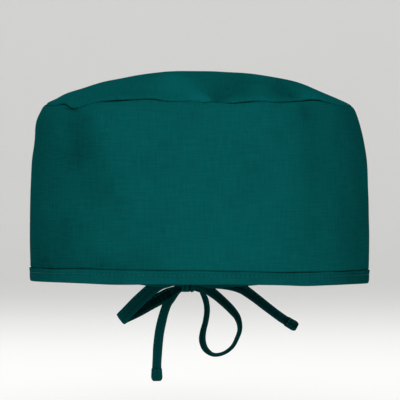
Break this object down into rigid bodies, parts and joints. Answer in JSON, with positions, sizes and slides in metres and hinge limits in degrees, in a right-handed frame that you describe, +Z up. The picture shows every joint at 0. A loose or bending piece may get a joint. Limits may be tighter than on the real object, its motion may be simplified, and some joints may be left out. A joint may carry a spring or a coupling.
{
  "type": "tie-back bandana cap",
  "caption": "Woven theatre cap with an upright front band, a soft domed crown gathered at the nape, a taped rim and ties knotted in a bow behind.",
  "frame": {"origin": "middle of the head opening, level with the rim", "axes": "+Z up through the crown, -Y out of the forehead, +X towards the wearer's left ear"},
  "size_m": [0.177, 0.2167, 0.1661],
  "materials": {
    "cap_cloth": "plain woven poly-cotton, petrol green, matt",
    "folded_tape": "the same cloth folded into tape and stitched along its edge"
  },
  "bodies": {
    "root": {"front_panel": "cap_cloth", "crown_panel": "cap_cloth", "rim_binding": "folded_tape", "tie_lead_left": "folded_tape", "tie_lead_right": "folded_tape", "bow_knot": "folded_tape", "bow_loop_left": "folded_tape", "bow_loop_right": "folded_tape", "tie_tail_left": "folded_tape", "tie_tail_right": "folded_tape"}
  },
  "joints": []
}
